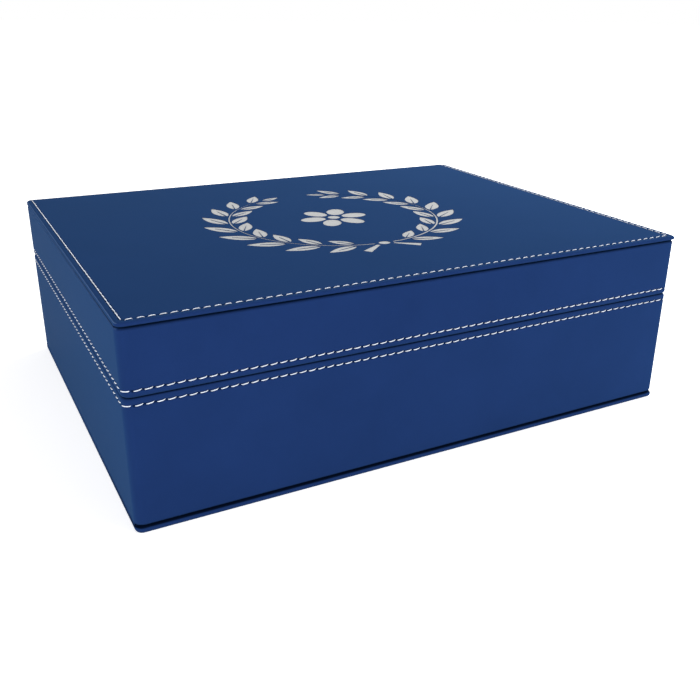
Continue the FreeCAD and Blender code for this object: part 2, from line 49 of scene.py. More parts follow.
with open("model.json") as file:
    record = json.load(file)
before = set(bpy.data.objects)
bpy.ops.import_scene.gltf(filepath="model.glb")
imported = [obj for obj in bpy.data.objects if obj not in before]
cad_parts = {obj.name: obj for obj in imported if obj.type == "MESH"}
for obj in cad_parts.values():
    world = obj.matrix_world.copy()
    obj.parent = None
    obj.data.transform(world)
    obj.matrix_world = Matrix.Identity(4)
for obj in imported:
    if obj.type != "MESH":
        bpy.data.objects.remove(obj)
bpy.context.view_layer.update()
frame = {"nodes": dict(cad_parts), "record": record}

MM = 0.001
TOUCH = 1e-6
LONG_EDGE = 100 * MM
# How upright a normal is: more than FLAT on a flat face, less than STEEP on a wall
FLAT = 0.99
STEEP = 0.1
UP = Vector((0, 0, 1))
SIDES = (Vector((0, -1, 0)), Vector((1, 0, 0)), Vector((0, 1, 0)), Vector((-1, 0, 0)))
CORNERS = ((-1, -1), (-1, 1), (1, -1), (1, 1))


# Settings that a user may change

def length(name, millimetres, about):
    """Make a length setting, given in millimetres."""
    return bpy.props.FloatProperty(
        name=name, description=about, default=millimetres * MM, unit="LENGTH", precision=5
    )


def colour(name, default, about):
    """Make a colour setting."""
    return bpy.props.FloatVectorProperty(
        name=name, description=about, default=default, subtype="COLOR", min=0.0, max=1.0
    )


def count(name, default, about):
    """Make a whole-number setting."""
    return bpy.props.IntProperty(name=name, description=about, default=default, min=1)


class GiftBoxSizes(bpy.types.PropertyGroup):
    """Sizes of the leatherette and of the rows sewn into it."""

    skin: length("Leatherette", 0.6, "Thickness of the leatherette")
    wall_corner: length("Wall corner", 3.5, "Radius of the upright corners")
    rim_roll: length("Rim roll", 1.2, "Roll over a rim's outer edge")
    leg_roll: length("Inner rim roll", 0.8, "Roll over a rim's inner edge")
    foot_ease: length("Foot ease", 0.85, "Roll where a wall meets its panel")
    turn_down: length("Turn down", 10.0, "Covering turned down inside a wall")
    leg_corner: length("Inner corner", 1.0, "Radius of the corners turned down")
    panel_corner: length("Panel corner", 3.0, "Radius of a panel's corners")
    left_inset: length("Left inset", 0.3, "How far the panels' left edges stand back")
    base_panel_roll: length("Bottom panel roll", 1.4, "Roll of the bottom panel's outer edge")
    lid_panel_roll: length("Top panel roll", 1.0, "Roll of the top panel's outer edge")
    panel_ease: length("Panel ease", 0.5, "Roll of a panel's edge beside the walls")
    turn_in: length("Turn in", 14.0, "Covering turned in behind a panel")
    base_gap: length("Bottom gap", 1.2, "Shadow gap above the bottom panel's front edge")
    lid_gap: length("Top gap", 0.8, "Shadow gap below the top panel's front edge")
    gap_depth: length("Gap depth", 3.0, "How far the shadow gaps reach in")
    base_lip: length("Bottom lip", 0.6, "Roll of the bottom panel's lip at its gap")
    lid_lip: length("Top lip", 0.25, "Roll of the top panel's lip at its gap")
    lid_row: length("Lid row", 2.65, "Lid's rim to its row of stitches")
    base_row: length("Base row", 2.55, "Base's rim to its row of stitches")
    top_row: length("Top row", 3.0, "Top panel's edge to its row of stitches")
    front_stitches: count("Stitches across", 65, "Stitches along the front or the back")
    side_stitches: count("Stitches deep", 48, "Stitches along a side")
    thread: length("Thread", 0.42, "Thickness of the thread")
    rim_space: length("Rim space", 0.95, "Space between a rim's stitches")
    top_space: length("Top space", 0.95, "Space between the stitches of the top's front")
    side_space: length("Top side space", 0.7, "Space between the stitches of the top's sides")
    hole_depth: length("Needle dent", 0.42, "Depth of the dent at a needle hole")
    pull_depth: length("Pull", 0.14, "How far a stitch pulls the leatherette in")
    dent_half: length("Dent half width", 0.7, "Row to the edge of its dents")


class GiftBoxWreath(bpy.types.PropertyGroup):
    """Sizes of the engraved wreath."""

    radius: length("Radius", 50.0, "Middle of the wreath to its stems")
    leaf_length: length("Leaf length", 19.0, "Longest leaves")
    leaf_width: length("Leaf width", 7.0, "Widest leaves")
    stem: length("Stem", 1.1, "Width of the stems")
    pairs: count("Leaf pairs", 9, "Pairs of leaves on each branch")
    depth: length("Depth", 0.15, "Depth of the engraving")


class GiftBoxColours(bpy.types.PropertyGroup):
    """Colours of the finishes, as linear values."""

    leatherette: colour("Leatherette", (0.0098, 0.0276, 0.1044), "Navy leatherette")
    # The dark navy also serves, ten times darker, as painted shade in needle dents, the parting line and the
    # shadow gaps
    leatherette_dark: colour("Leatherette, dark", (0.0083, 0.0235, 0.0887), "Navy in the grain")
    # Painted sheen: a paler navy mixed in where the leatherette is seen aslant, in place of reflected light
    leatherette_painted_sheen: colour("Leatherette, aslant", (0.0168, 0.0512, 0.1285), "Navy seen aslant")
    # Painted highlight: a pale navy on the top panel's rolled side edges, and weaker painted light over the
    # seams below them
    leatherette_painted_highlight: colour("Leatherette, folded", (0.062, 0.112, 0.225), "Navy stretched over a fold")
    thread: colour("Thread", (0.77, 0.81, 0.90), "Silver sewing thread")
    engraving: colour("Engraving", (0.436, 0.442, 0.442), "Under-layer bared by the engraving")
    velvet: colour("Velvet", (0.012, 0.0125, 0.015), "Lining and pads")
    nickel: colour("Nickel", (0.70, 0.68, 0.64), "Hinges and screws")


# Selecting and shaping

def deselect():
    """Deselect every object."""
    bpy.ops.object.select_all(action="DESELECT")


def activate(piece):
    """Select and activate one piece alone."""
    deselect()
    piece.select_set(True)
    bpy.context.view_layer.objects.active = piece


def discard(piece):
    """Remove a helper piece."""
    bpy.data.objects.remove(piece)


@contextmanager
def editing(piece):
    """Work on one piece in edit mode."""
    activate(piece)
    bpy.ops.object.mode_set(mode="EDIT")
    yield
    bpy.ops.object.mode_set(mode="OBJECT")


def pick(piece, kind, test):
    """Select in edit mode only the vertices, edges or faces that a test picks."""
    bpy.ops.mesh.select_mode(type=kind)
    bpy.ops.mesh.select_all(action="DESELECT")
    mesh = bmesh.from_edit_mesh(piece.data)
    items = {"VERT": mesh.verts, "EDGE": mesh.edges, "FACE": mesh.faces}[kind]
    found = [item for item in items if test(item)]
    if not found:
        raise RuntimeError(f"{piece.name}: the test picks no {kind.lower()}")
    for item in found:
        item.select_set(True)
    mesh.select_flush_mode()
    bmesh.update_edit_mesh(piece.data)


def run_of(edge):
    """Return how far an edge runs along each axis."""
    return [abs(a - b) for a, b in zip(edge.verts[0].co, edge.verts[1].co)]


def upright(edge):
    """Tell whether an edge stands upright."""
    run = run_of(edge)
    return run[0] < TOUCH and run[1] < TOUCH and run[2] > TOUCH


def level_at(height):
    """Return a test for edges that lie at a height."""
    return lambda edge: all(abs(vert.co.z - height) < TOUCH for vert in edge.verts)


def flat_at(height):
    """Return a test for faces that lie flat at a height."""
    return lambda face: abs(face.normal.z) > FLAT and abs(face.calc_center_median().z - height) < TOUCH


def roll_edges(piece, test, size, steps):
    """Round the edges that a test picks."""
    pick(piece, "EDGE", test)
    bpy.ops.mesh.bevel(offset=size, segments=steps)


def split_edges(piece, test, parts):
    """Divide the edges that a test picks into equal parts."""
    pick(piece, "EDGE", test)
    bpy.ops.mesh.subdivide(number_cuts=parts - 1)


def cut_faces(piece, test, place, normal):
    """Cut the faces that a test picks along a plane."""
    pick(piece, "FACE", test)
    bpy.ops.mesh.bisect(plane_co=place, plane_no=normal, threshold=TOUCH)


def cut_frame(piece, height, reach):
    """Cut the flat faces at a height along a rectangle round the middle."""
    for axis in (0, 1):
        for sign in (-1, 1):
            place = Vector((0, 0, height))
            place[axis] = sign * reach[axis]
            cut_faces(piece, flat_at(height), place, (1 - axis, axis, 0))


def move_points(piece, test, shift):
    """Move the vertices that a test picks."""
    pick(piece, "VERT", test)
    bpy.ops.transform.translate(value=shift)


def face_outward():
    """Turn every face outward in edit mode."""
    bpy.ops.mesh.select_all(action="SELECT")
    bpy.ops.mesh.normals_make_consistent()


def name_piece(name):
    """Name the piece just added and apply its place."""
    piece = bpy.context.active_object
    piece.name = name
    piece.data.name = name
    bpy.ops.object.transform_apply()
    return piece


def add_block(name, low, high):
    """Add a block between two corners."""
    deselect()
    bpy.ops.mesh.primitive_cube_add(size=1, location=(low + high) / 2, scale=high - low)
    return name_piece(name)


def copy_at(piece, place):
    """Copy a piece with its own mesh, moved by a matrix."""
    copy = piece.copy()
    copy.data = piece.data.copy()
    copy.data.transform(place)
    bpy.context.scene.collection.objects.link(copy)
    return copy


def join(pieces, name):
    """Join pieces into one."""
    activate(pieces[0])
    for piece in pieces:
        piece.select_set(True)
    if len(pieces) > 1:
        bpy.ops.object.join()
    return name_piece(name)


def modify(piece, kind, **values):
    """Add a modifier to a piece and apply it."""
    activate(piece)
    modifier = piece.modifiers.new(kind.lower(), kind)
    for key, value in values.items():
        setattr(modifier, key, value)
    bpy.ops.object.modifier_apply(modifier=modifier.name)


def carve(piece, cutter):
    """Cut one piece out of another."""
    modify(piece, "BOOLEAN", operation="DIFFERENCE", solver="EXACT", object=cutter)


def smooth(piece, degrees=38.0):
    """Shade a piece smoothly between its sharp edges."""
    activate(piece)
    bpy.ops.object.shade_smooth_by_angle(angle=radians(degrees))
    modify(piece, "WEIGHTED_NORMAL", weight=60, keep_sharp=True)


def finish_piece(piece, body, slot, *nodes):
    """Dress a piece, hang it on its body and let it stand for its nodes."""
    piece.data.materials.clear()
    piece.data.materials.append(finish_for(slot))
    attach(piece, body)
    if nodes:
        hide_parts(*nodes)


class Tray:
    """One half of the box, measured from its ring of walls."""

    OUTER_SHARE = 0.96

    def __init__(self, name, rim_up):
        self.name = name
        self.rim_up = rim_up
        self.low, self.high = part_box(f"{name}_wall_cover")
        self.rim, self.foot = (self.high.z, self.low.z) if rim_up else (self.low.z, self.high.z)
        self.half = self.high.xy
        self.leg = Vector((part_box(f"{name}_right_lining")[1].x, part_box(f"{name}_back_lining")[1].y))

    def at(self, depth):
        """Return the height that lies a depth away from the rim."""
        return self.rim - depth if self.rim_up else self.rim + depth

    def outer(self, point):
        """Tell whether a point lies outside rather than inside the walls."""
        return max(abs(point.x) / self.half.x, abs(point.y) / self.half.y) > self.OUTER_SHARE

    def row(self, box):
        """Return the height of the row of stitches."""
        return self.at(box.base_row if self.rim_up else box.lid_row)

    def rows(self, box):
        """List each wall's row: start, direction, normal, length and stitches."""
        listed = []
        for side in SIDES:
            along = UP.cross(side)
            axis = 0 if abs(along.x) > 0.5 else 1
            reach = self.half[axis] - box.wall_corner
            start = side * self.half[1 - axis] - along * reach + UP * self.row(box)
            listed.append((start, along, side, 2 * reach, (box.front_stitches, box.side_stitches)[axis]))
        return listed


BASE = Tray("base", True)
LID = Tray("lid", False)


# Leatherette

RIM_FLAT = 0.6 * MM
PARTING_REACH = 0.25 * MM
# Painted shade: how dark the parting line between the rims and the wall edge beside the front shadow gaps are
# made
PARTING_PAINTED_SHADE = 0.85
GAP_PAINTED_SHADE = 0.6
# Painted light: how much paler the seams under the top panel's sides and its rolled side edges are made
SEAM_PAINTED_LIGHT = 0.3
EDGE_PAINTED_HIGHLIGHT = 0.9
# Painted highlight and seam light on the top panel's sides, counted in rolls below its outer face
HIGHLIGHT_FROM, HIGHLIGHT_TO, SEAM_LIGHT_FROM = 0.2, 0.4, 1.6


def sewn_dents(wrap, start, along, normal, reach, stitches, box):
    """Press needle dents and the pull of the thread into a straight row."""
    across = normal.cross(along)

    def turn(vert):
        """Return 0 at a needle hole, 1 under a stitch and None off the row."""
        away = vert.co - start
        on_line = max(abs(away.dot(normal)), abs(away.dot(across))) < TOUCH
        if not on_line or not -TOUCH < away.dot(along) < reach + TOUCH:
            return None
        return round(2 * stitches * away.dot(along) / reach) % 2

    for wanted, depth in enumerate((box.hole_depth, box.pull_depth)):
        move_points(wrap, lambda vert: turn(vert) == wanted, -normal * depth)


def form_walls(wrap, tray, box):
    """Form the covering of a ring of walls from a block."""
    inset = (tray.leg.x / tray.half.x, tray.leg.y / tray.half.y, 1)
    pick(wrap, "FACE", lambda face: abs(face.normal.z) > FLAT)
    bpy.ops.mesh.delete(type="ONLY_FACE")
    roll_edges(wrap, upright, box.wall_corner, 8)
    for height in (tray.rim, tray.foot):
        pick(wrap, "EDGE", level_at(height))
        bpy.ops.mesh.extrude_edges_move()
        bpy.ops.transform.resize(value=inset)
        if height == tray.rim:
            down = (0, 0, tray.at(box.turn_down) - tray.rim)
            bpy.ops.mesh.extrude_edges_move(TRANSFORM_OT_translate={"value": down})
    for height, outside, size, steps in (
        (tray.rim, True, box.rim_roll, 6),
        (tray.rim, False, box.leg_roll, 4),
        (tray.foot, True, box.foot_ease, 4),
    ):
        def picked(edge):
            return level_at(height)(edge) and all(tray.outer(vert.co) == outside for vert in edge.verts)

        roll_edges(wrap, picked, size, steps)
    cut_frame(wrap, tray.rim, [tray.half[axis] - box.rim_roll - RIM_FLAT for axis in (0, 1)])


def cut_wall_row(wrap, tray, box):
    """Cut the row of stitches and its dents into the walls."""
    def outside(face):
        return abs(face.normal.z) < STEEP and tray.outer(face.calc_center_median())

    for offset in (-box.dent_half, 0, box.dent_half):
        cut_faces(wrap, outside, UP * (tray.row(box) + offset), UP)
    least, most = 3.0 * MM, 4.2 * MM
    for axis, stitches in enumerate((box.front_stitches, box.side_stitches)):
        split_edges(wrap, lambda edge: run_of(edge)[axis] > LONG_EDGE, stitches)
        split_edges(wrap, lambda edge: least < run_of(edge)[axis] < most and edge.calc_length() < most, 2)


def wrap_walls(tray, box):
    """Wrap a ring of walls: outside, over the rim, down inside and under the foot."""
    wrap = add_block(f"{tray.name}_wall_wrap", tray.low, tray.high)
    with editing(wrap):
        form_walls(wrap, tray, box)
        cut_wall_row(wrap, tray, box)
        face_outward()
    square_legs(wrap, tray, box)
    modify(wrap, "SOLIDIFY", thickness=box.skin, use_even_offset=True)
    with editing(wrap):
        press_corners(wrap, tray, box)
        for row in tray.rows(box):
            sewn_dents(wrap, *row, box)
    leaves = [f"{side}_hinge_{tray.name}_leaf" for side in ("left", "right")]
    cutter = join([add_block("recess", *recess_corners(leaf, tray)) for leaf in leaves], "recesses")
    carve(wrap, cutter)
    discard(cutter)
    smooth(wrap)
    mark_painted_light(wrap, lambda point: wall_painted_light(point, tray, box))
    return wrap


def mark_painted_light(wrap, hollow):
    """Note where the finish gets painted shade, above 0, or painted light, below 0."""
    marks = wrap.data.attributes.new("hollow", "FLOAT", "POINT")
    for vert, mark in zip(wrap.data.vertices, marks.data):
        mark.value = min(max(hollow(vert.co), -1.0), 1.0)


def fade(distance, reach):
    """Return 1 at no distance, falling to 0 at a reach."""
    return max(1 - abs(distance) / reach, 0.0)


def wall_painted_light(point, tray, box):
    """Mark a point of the walls: above 0 for painted shade, below 0 for painted light."""
    corner, ease = box.wall_corner, box.foot_ease
    away = Vector((max(abs(point[axis]) - tray.half[axis] + corner, 0) for axis in (0, 1)))
    depth = corner - away.length
    # Painted shade in the needle dents, darker the deeper the dent
    if abs(point.z - tray.row(box)) < TOUCH:
        return depth / box.hole_depth
    # Painted shade along the parting line between the rims
    parting = fade(point.z - tray.rim, PARTING_REACH)
    if parting > 0 and depth < box.rim_roll + 0.1 * MM:
        return PARTING_PAINTED_SHADE * parting
    foot = fade(point.z - tray.foot, ease)
    # Painted light on the lid's left and right walls, at the seam under the top panel
    if not tray.rim_up and abs(point.x) > tray.half.x - ease:
        return -SEAM_PAINTED_LIGHT * foot
    # Painted shade on the front wall's edge beside the shadow gap
    if point.y < -tray.half.y + 2 * ease and abs(point.x) < tray.half.x - ease:
        return GAP_PAINTED_SHADE * foot
    return 0.0


def square_legs(wrap, tray, box):
    """Tighten the corners of the covering turned down inside."""
    tight = box.leg_corner
    loose = Vector((box.wall_corner * tray.leg[axis] / tray.half[axis] for axis in (0, 1)))
    for vert in wrap.data.vertices:
        if tray.outer(vert.co):
            continue
        away = [abs(vert.co[axis]) - tray.leg[axis] + loose[axis] for axis in (0, 1)]
        if min(away) < -TOUCH:
            continue
        heading = atan2(away[1] / loose.y, away[0] / loose.x)
        for axis, reach in enumerate((cos(heading), sin(heading))):
            grown = tray.leg[axis] - tight + tight * reach
            spread = away[axis] / (loose[axis] * reach) if reach > TOUCH else 1.0
            vert.co[axis] = copysign(grown + (spread - 1) * tight, vert.co[axis])


def press_corners(wrap, tray, box):
    """Press in the leatherette under the stitch that turns each corner."""
    corner = box.wall_corner
    centre = tray.half - Vector((corner, corner))
    near = 0.02 * MM
    for sign_x, sign_y in CORNERS:
        for share in (0.25, 0.5, 0.75):
            angle = share * pi / 2
            normal = Vector((sign_x * cos(angle), sign_y * sin(angle), 0))
            point = Vector((sign_x * centre.x, sign_y * centre.y, tray.row(box))) + normal * corner
            move_points(wrap, lambda vert: (vert.co - point).length < near, -normal * box.pull_depth)


def recess_corners(leaf, tray):
    """Return the corners of a hinge leaf's recess in a rim."""
    low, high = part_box(leaf)
    clear = Vector((0.2 * MM, 0.2 * MM, 0))
    low, high = low - clear, high + clear
    deep, above = 1.2 * MM, 1.0 * MM
    heights = sorted((tray.at(deep), tray.at(-above)))
    return Vector((low.x, low.y, heights[0])), Vector((high.x, high.y, heights[1]))


def cut_top_rows(wrap, top, half, box):
    """Cut the top panel's sewn rows: left, front and right."""
    side_row = half.x - box.top_row
    front_row = -half.y + box.top_row
    spread = (-box.dent_half, 0, box.dent_half)
    for offset in spread:
        cut_faces(wrap, flat_at(top), (0, front_row + offset, 0), (0, 1, 0))
        for sign in (-1, 1):
            cut_faces(wrap, flat_at(top), (sign * side_row + offset, 0, 0), (1, 0, 0))

    def lines(axis, place, row):
        """Return a test for the long edges cut beside a row."""
        def cut(point):
            beside = [abs(place(point) - row - offset) < TOUCH for offset in spread]
            return abs(point.z - top) < TOUCH and any(beside)

        return lambda edge: run_of(edge)[axis] > LONG_EDGE and all(cut(vert.co) for vert in edge.verts)

    split_edges(wrap, lines(1, lambda point: abs(point.x), side_row), 2 * box.side_stitches)
    split_edges(wrap, lines(0, lambda point: point.y, front_row), 2 * box.front_stitches)


def top_rows(half, top, box):
    """List each row of the top: start, direction, normal, length and stitches."""
    side = half.x - box.top_row
    front = -half.y + box.top_row
    back = half.y - box.lid_panel_roll
    first = front + box.dent_half
    across = side - box.dent_half
    return [
        (Vector((-side, back, top)), Vector((0, -1, 0)), UP, back - first, box.side_stitches),
        (Vector((-across, front, top)), Vector((1, 0, 0)), UP, 2 * across, box.front_stitches),
        (Vector((side, first, top)), Vector((0, 1, 0)), UP, back - first, box.side_stitches),
    ]


def wrap_panel(name, outer_up, box):
    """Wrap a panel: its outer face, over its rolled edges and in behind it."""
    low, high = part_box(f"{name}_panel_cover")
    half = high.xy
    outer, inner = (high.z, low.z) if outer_up else (low.z, high.z)
    roll, gap, ease = (getattr(box, f"{name}_{part}") for part in ("panel_roll", "gap", "lip"))
    lip = inner + copysign(gap, outer - inner)
    wrap = add_block(f"{name}_panel_wrap", low + Vector((box.left_inset, 0, 0)), high)
    with editing(wrap):
        roll_edges(wrap, upright, box.panel_corner, 6)
        roll_edges(wrap, level_at(outer), roll, 6)
        roll_edges(wrap, level_at(inner), box.panel_ease, 3)
    cut_gap(wrap, half, inner, lip, ease, box.gap_depth)
    inside = flat_at(inner)
    with editing(wrap):
        cut_frame(wrap, inner, half - Vector((box.turn_in, box.turn_in)))
        near = 10 * MM
        pick(wrap, "FACE", lambda face: inside(face) and face.calc_center_median().xy.length < near)
        bpy.ops.mesh.delete(type="FACE")
        if outer_up:
            cut_top_rows(wrap, outer, half, box)
    modify(wrap, "SOLIDIFY", thickness=box.skin, use_even_offset=True)
    if outer_up:
        with editing(wrap):
            for row in top_rows(half, outer, box):
                sewn_dents(wrap, *row, box)
    mark_painted_light(wrap, lambda point: panel_painted_light(point, half, outer, inner, lip, box))
    return wrap


def panel_painted_light(point, half, outer, inner, lip, box):
    """Mark a point of a panel: above 0 for painted shade, below 0 for a painted highlight or painted light.
    """
    aside = min(abs(half.x - box.top_row - abs(point.x)), abs(half.y - box.top_row + point.y))
    depth = outer - point.z
    # Painted shade in the needle dents of the top's rows
    if aside < TOUCH and 0 < depth < box.skin - TOUCH:
        return depth / box.hole_depth
    # Painted shade in the front shadow gap, darker deeper in
    in_gap = min(inner, lip) - TOUCH < point.z < max(inner, lip) + TOUCH
    if in_gap and point.y < -half.y + box.gap_depth + TOUCH:
        return (point.y + half.y) / MM
    # Painted highlight on the top panel's rolled left and right edges, and painted light over the seam below
    # them
    roll = box.lid_panel_roll
    if outer > inner and abs(point.x) > half.x - box.left_inset - roll:
        if HIGHLIGHT_FROM < depth / roll < HIGHLIGHT_TO:
            return -EDGE_PAINTED_HIGHLIGHT
        if depth / roll > SEAM_LIGHT_FROM:
            return -SEAM_PAINTED_LIGHT
    return 0.0


def cut_gap(wrap, half, inner, lip, ease, deep):
    """Cut the shadow gap along a panel's front edge and ease its lip."""
    heights = sorted((inner + copysign(MM, inner - lip), lip))
    back = -half.y + deep
    low = Vector((-half.x - MM, -half.y - MM, heights[0]))
    cutter = add_block("gap", low, Vector((half.x + MM, back, heights[1])))
    carve(wrap, cutter)
    discard(cutter)
    level = level_at(lip)
    before = back - 0.1 * MM
    with editing(wrap):
        roll_edges(wrap, lambda edge: level(edge) and all(vert.co.y < before for vert in edge.verts), ease, 3)


# Sewing

CHANCE_SEED = 11
FRONT_SLANT, SIDE_SLANT = 1.0, 0.3


def make_stitch(box, span, space, slant=FRONT_SLANT):
    """Model one stitch along X: an arch of thread that dives at both ends."""
    half = (span - space) / 2
    thinning, flatness = 0.38, 0.7
    hook, crown, dive = 0.16 * MM, 0.04 * MM, 0.34 * MM
    deselect()
    bpy.ops.mesh.primitive_cylinder_add(
        vertices=6, radius=box.thread / 2, depth=2 * half, rotation=(0, pi / 2, 0)
    )
    stitch = name_piece("stitch")
    with editing(stitch):
        split_edges(stitch, lambda edge: run_of(edge)[0] > half, 6)
    for vert in stitch.data.vertices:
        share = vert.co.x / half
        slim = 1 - thinning * share**4
        vert.co.y = vert.co.y * slim + slant * hook * (share + max(share, 0) ** 3)
        vert.co.z = vert.co.z * slim * flatness + crown - dive * share**6
    return stitch


def bend_stitch(stitch, radius):
    """Bend a stitch round an upright corner."""
    for vert in stitch.data.vertices:
        angle = vert.co.x / radius
        reach = radius + vert.co.z
        vert.co.x = reach * sin(angle)
        vert.co.z = reach * cos(angle) - radius


def stitch_place(point, along, normal, lean=0.0, shift=0.0):
    """Return the matrix that lays a stitch at a point of a surface."""
    turn = Matrix((along, normal.cross(along), normal)).transposed().to_4x4()
    laid = Matrix.Translation(point) @ turn @ Matrix.Rotation(lean, 4, "Z")
    return laid @ Matrix.Translation((0, shift, 0))


def lay_row(stitch, start, along, normal, reach, stitches, chance):
    """Lay a stitch in a straight row of copies, each a little different."""
    most_lean, most_shift = 2.0, 0.05
    laid = []
    for number in range(stitches):
        point = start + along * (reach / stitches) * (number + 0.5)
        lean = radians(chance.uniform(-most_lean, most_lean))
        shift = chance.uniform(-most_shift, most_shift) * MM
        laid.append(copy_at(stitch, stitch_place(point, along, normal, lean, shift)))
    discard(stitch)
    return laid


def sew_rim(tray, box, chance):
    """Sew a rim all round, with one stitch bent round each corner."""
    corner = box.wall_corner
    laid = []
    for start, along, side, reach, stitches in tray.rows(box):
        stitch = make_stitch(box, reach / stitches, box.rim_space)
        laid += lay_row(stitch, start, along, side, reach, stitches, chance)
        bent = make_stitch(box, corner * pi / 2, box.rim_space)
        bend_stitch(bent, corner)
        normal = (side + along).normalized()
        point = start + along * reach + (normal - side) * corner
        bent.data.transform(stitch_place(point, UP.cross(normal), normal))
        laid.append(bent)
    return join(laid, f"{tray.name}_rim_stitching")


def sew_top(box, chance):
    """Sew the lid's panel along its left, front and right edges."""
    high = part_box("lid_panel_cover")[1]
    laid = []
    for start, along, normal, reach, stitches in top_rows(high.xy, high.z, box):
        across = abs(along.x) > 0.5
        space, slant = (box.top_space, FRONT_SLANT) if across else (box.side_space, SIDE_SLANT)
        stitch = make_stitch(box, reach / stitches, space, slant)
        laid += lay_row(stitch, start, along, normal, reach, stitches, chance)
    return join(laid, "lid_top_stitching")


# Engraving

def outline_plate(points, low, high):
    """Make a plate from an outline, between two heights."""
    deselect()
    bpy.ops.mesh.primitive_circle_add(vertices=len(points), fill_type="NGON")
    plate = name_piece("plate")
    for vert, point in zip(plate.data.vertices, points):
        vert.co = (point[0], point[1], low)
    with editing(plate):
        bpy.ops.mesh.select_all(action="SELECT")
        bpy.ops.mesh.extrude_region_move(TRANSFORM_OT_translate={"value": (0, 0, high - low)})
        face_outward()
    return plate


def circle_angles(steps):
    """Return evenly spaced angles round a circle."""
    return [2 * pi * step / steps for step in range(steps)]


def turned(points, base, heading):
    """Turn points to a heading and move them to a base."""
    c, s = cos(heading), sin(heading)
    return [(base[0] + x * c - y * s, base[1] + x * s + y * c) for x, y in points]


def leaf_outline(long, wide, base, heading, vein):
    """Outline a leaf with an open vein, from its base along a heading."""
    shares = [step / 9 for step in range(1, 9)]
    upper = [(share * long, wide / 2 * sin(pi * share**0.85) ** 0.9) for share in shares]
    lower = [(x, -y) for x, y in upper]
    foot, fork = 0.03 * long, 0.66 * long
    points = [(foot, -vein), *lower, (long, 0), *reversed(upper), (foot, vein), (fork, 0)]
    return turned(points, base, heading)


def ellipse_outline(centre, heading, long, wide):
    """Outline an ellipse with two half axes, turned to a heading."""
    points = [(long * cos(angle), wide * sin(angle)) for angle in circle_angles(22)]
    return turned(points, centre, heading)


def branch_outlines(wreath, sign):
    """Outline the stem, the leaf pairs and the tail of one branch."""
    begin, first, last = (radians(angle) for angle in (5, 15, 157))
    half = wreath.stem / 2
    gap, vein, end_vein = 0.7 * MM, 0.25 * MM, 0.2 * MM

    def at(angle, out=0.0):
        reach = wreath.radius + out
        return sign * reach * sin(angle), -reach * cos(angle)

    def leaf(angle, long, wide, base, lean, vein):
        heading = (angle if sign > 0 else pi - angle) - sign * radians(lean)
        return leaf_outline(wreath.leaf_length * long, wreath.leaf_width * wide, base, heading, vein)

    shares = [step / 30 for step in range(31)]
    stem = [(begin + (last - begin) * share, half * (1 - 0.6 * share)) for share in shares]
    outside = [at(angle, thin) for angle, thin in stem]
    inside = [at(angle, -thin) for angle, thin in stem]
    shapes = [outside + list(reversed(inside))]
    for number in range(wreath.pairs):
        share = number / (wreath.pairs - 1)
        angle = first + (last - first) * 0.95 * share
        size = 0.72 + 0.28 * sin(pi * (0.15 + 0.7 * share))
        for out, lean, long, wide in ((1, 31, 1.0, 1.0), (-1, 34, 0.84, 0.9)):
            base = at(angle, out * (half + gap))
            shapes.append(leaf(angle, size * long, size * wide, base, out * lean, vein))
    shapes.append(leaf(last, 0.62, 0.62, at(last + 0.02), 0, end_vein))
    tail = [(3.0, -2.2), (4.4, -1.2), (14.5, -7.4), (12.0, -10.6)]
    shapes.append([(sign * x * MM, -wreath.radius + y * MM) for x, y in tail])
    return shapes


def wreath_outlines(wreath):
    """Outline an open wreath: two laurel branches, a knot and a blossom."""
    knot = 2.7 * MM, 2.3 * MM
    heart = 3.0 * MM, 3.0 * MM
    petal = 6.3 * MM, 4.4 * MM
    away = 10.8 * MM
    shapes = branch_outlines(wreath, -1) + branch_outlines(wreath, 1)
    shapes.append(ellipse_outline((0, -wreath.radius), 0.0, *knot))
    shapes.append(ellipse_outline((0, 0), 0.0, *heart))
    for heading in circle_angles(6):
        centre = away * cos(heading), away * sin(heading)
        shapes.append(ellipse_outline(centre, heading, *petal))
    return shapes


def engrave_wreath(wrap, wreath):
    """Sink a wreath into the lid's panel and lay the bared under-layer into it."""
    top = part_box("lid_panel_cover")[1].z
    floor = top - 2 * wreath.depth
    plates = [outline_plate(points, floor, top + wreath.depth) for points in wreath_outlines(wreath)]
    plate = join(plates, "lid_wreath")
    carve(wrap, plate)
    for vert in plate.data.vertices:
        vert.co.z = min(vert.co.z, top - wreath.depth)
    return plate


# Lining and pads

def line_wall(tray, side):
    """Cover a lining board with cloth, rolled over its edges."""
    roll = 0.6 * MM
    cloth = add_block(f"{tray.name}_{side}_lining_cloth", *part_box(f"{tray.name}_{side}_lining"))
    with editing(cloth):
        roll_edges(cloth, lambda edge: True, roll, 4)
    smooth(cloth, degrees=60)
    return cloth


def make_cushion(node, name, faces_up):
    """Make a cloth pad, glued down flat, that swells to its middle."""
    shortest = 2 * MM
    low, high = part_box(node)
    glued, face = (low.z, high.z) if faces_up else (high.z, low.z)
    cushion = add_block(name, low, high)
    with editing(cushion):
        for axis, parts in enumerate((46, 34, 3)):
            split_edges(cushion, lambda edge: run_of(edge)[axis] > shortest, parts)
    half = (high - low) / 2
    rise = face - glued
    edge_share, middle_share = 0.74 if faces_up else 0.63, 0.97
    for vert in cushion.data.vertices:
        share = abs(vert.co.z - glued) / abs(rise)
        across = [1 - (abs(vert.co[axis]) / half[axis]) ** 2 for axis in (0, 1)]
        bulge = sqrt(max(across[0] * across[1], 0)) ** 0.6
        vert.co.z = glued + rise * share * (edge_share + (middle_share - edge_share) * bulge)
    inflate(cushion, glued)
    modify(cushion, "SUBSURF", levels=1)
    for vert in cushion.data.vertices:
        vert.co = [min(max(value, least), most) for value, least, most in zip(vert.co, low, high)]
    smooth(cushion, degrees=80)
    return cushion


